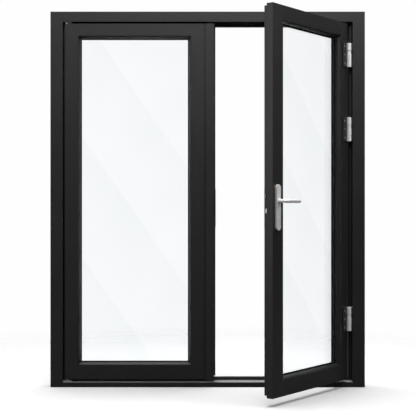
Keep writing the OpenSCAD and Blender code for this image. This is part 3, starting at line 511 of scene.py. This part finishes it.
def make_lever():
    """A round bar that leaves the plate through a collar, and takes the CAD lever's place."""
    _, plate = reach("handle_plate", SPINDLE, OUTWARD)
    _, front = reach("lever", SPINDLE, OUTWARD)
    _, tip = reach("lever", SPINDLE, TO_HINGE)
    stations, root = lever_stations(plate, front, tip)
    bm = bmesh.new()
    swept_bar(bm, stations, UP)
    turned(bm, SPINDLE, OUTWARD, [(root + out, radius) for out, radius in COLLAR])
    piece = mesh_piece("lever_bar", bm, SILVER, "lever_handle")
    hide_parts("lever")


make_lever()

# Studio ------------------------------------------------------------------------------------


def make_camera():
    """A level camera in front of the doors, at a standing viewer's chest height."""
    eye_height, distance, aside = 1.0257, 5.886, 0.002
    data = bpy.data.cameras.new("camera")
    data.lens = 89.0
    data.sensor_width = 36.0
    camera = bpy.data.objects.new("camera", data)
    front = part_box("head")[0].y
    camera.location = (aside, front - distance, eye_height)
    camera.rotation_euler = (math.radians(90), 0, 0)
    bpy.context.scene.collection.objects.link(camera)
    bpy.context.scene.camera = camera


def soft_light(name, place_at, aim, width, height, power):
    """A large rectangular lamp that the camera doesn't see."""
    data = bpy.data.lights.new(name, "AREA")
    data.shape = "RECTANGLE"
    data.size = width
    data.size_y = height
    data.energy = power
    lamp = bpy.data.objects.new(name, data)
    lamp.location = place_at
    lamp.rotation_euler = (Vector(aim) - Vector(place_at)).to_track_quat("-Z", "Y").to_euler()
    lamp.visible_camera = False
    lamp.visible_transmission = False
    bpy.context.scene.collection.objects.link(lamp)


def mix_shaders(tree, factor, first, second, surface):
    """Feeds a surface from two shaders: the first where the factor is 0, the second at 1."""
    mix = place(tree, "ShaderNodeMixShader")
    for value, socket in zip((factor, first, second), mix.inputs):
        tree.links.new(value, socket)
    tree.links.new(mix.outputs["Shader"], surface.inputs["Surface"])


def make_world():
    """White behind the doors; what they mirror is a dim room that is lighter overhead."""
    world = bpy.data.worlds.new("studio")
    world.use_nodes = True
    bpy.context.scene.world = world
    tree = world.node_tree
    room = tree.nodes["Background"]
    where = place(tree, "ShaderNodeTexCoord").outputs["Generated"]
    axes = place(tree, "ShaderNodeSeparateXYZ")
    tree.links.new(where, axes.inputs["Vector"])
    dim, bright = 0.06, 0.8
    lift = remap(tree, axes.outputs["Z"], dim, bright, reach_from=(-0.3, 0.7))
    tree.links.new(lift, room.inputs["Strength"])
    backdrop = place(tree, "ShaderNodeBackground")
    backdrop.inputs["Strength"].default_value = 1.0
    backdrop.inputs["Color"].default_value = (0.992, 0.992, 0.992, 1)
    rays = place(tree, "ShaderNodeLightPath").outputs
    seen = math_node(tree, "MAXIMUM", rays["Is Camera Ray"], rays["Is Transmission Ray"])
    mix_shaders(tree, seen, room.outputs["Background"], backdrop.outputs["Background"],
                tree.nodes["World Output"])


FLOOR_RIM = 3.4
FLOOR_FADE = (1.2, FLOOR_RIM - 0.1)
FLOOR_DROP = 0.0006


def floor_finish():
    """Pale to the eye and through glass, fading out at its rim; dark where it is mirrored."""
    material, tree, skin = new_material("floor_white")
    where = place(tree, "ShaderNodeTexCoord").outputs["Object"]
    length = place(tree, "ShaderNodeVectorMath", operation="LENGTH")
    tree.links.new(where, length.inputs[0])
    fade = remap(tree, length.outputs["Value"], 1.0, 0.0, reach_from=FLOOR_FADE,
                 interpolation_type="SMOOTHERSTEP")
    tree.links.new(fade, skin.inputs["Alpha"])
    cloud = noise(tree, where, 3.0, 3.0, 0.5)
    pale = tones(tree, cloud, (0.84, 0.84, 0.84, 1), (0.86, 0.86, 0.86, 1))
    tree.links.new(pale, skin.inputs["Base Color"])
    skin.inputs["Roughness"].default_value = 0.22
    skin.inputs["Specular IOR Level"].default_value = 0.25
    rays = place(tree, "ShaderNodeLightPath").outputs
    bounced = math_node(tree, "MAXIMUM", rays["Is Glossy Ray"], rays["Is Diffuse Ray"])
    mirrored = math_node(tree, "SUBTRACT", bounced, rays["Is Transmission Ray"], clamp=True)
    dim = place(tree, "ShaderNodeBsdfDiffuse")
    dim.inputs["Color"].default_value = (0.1, 0.1, 0.1, 1)
    mix_shaders(tree, mirrored, skin.outputs["BSDF"], dim.outputs["BSDF"],
                tree.nodes["Material Output"])
    return material


def make_floor():
    """A round floor just under the sill."""
    bm = bmesh.new()
    bmesh.ops.create_circle(bm, cap_ends=True, segments=96, radius=FLOOR_RIM)
    mesh = bpy.data.meshes.new("floor")
    bm.to_mesh(mesh)
    bm.free()
    mesh.materials.append(floor_finish())
    floor = bpy.data.objects.new("floor", mesh)
    floor.location = (0, 0, CAD_BOX[0].z - FLOOR_DROP)
    bpy.context.scene.collection.objects.link(floor)


# Each lamp: name, place, what it points at, width, height and power in watts
LAMPS = (
    ("overhead", (0.1, 0.3, 4.6), (0.1, 0.3, 0), 6.0, 5.0, 590),
    ("front", (0.5, -5.2, 4.4), (0.2, 0, 1.6), 3.4, 1.8, 105),
    ("left", (-4.4, -3.0, 2.2), (0.4, -0.3, 1.3), 2.0, 3.2, 62),
    ("right", (4.2, -1.6, 2.6), (0.6, 0, 1.2), 1.4, 2.4, 42),
)

make_camera()
make_world()
make_floor()
for lamp_values in LAMPS:
    soft_light(*lamp_values)

scene = bpy.context.scene
scene.view_settings.view_transform = "Standard"
scene.view_settings.look = "None"
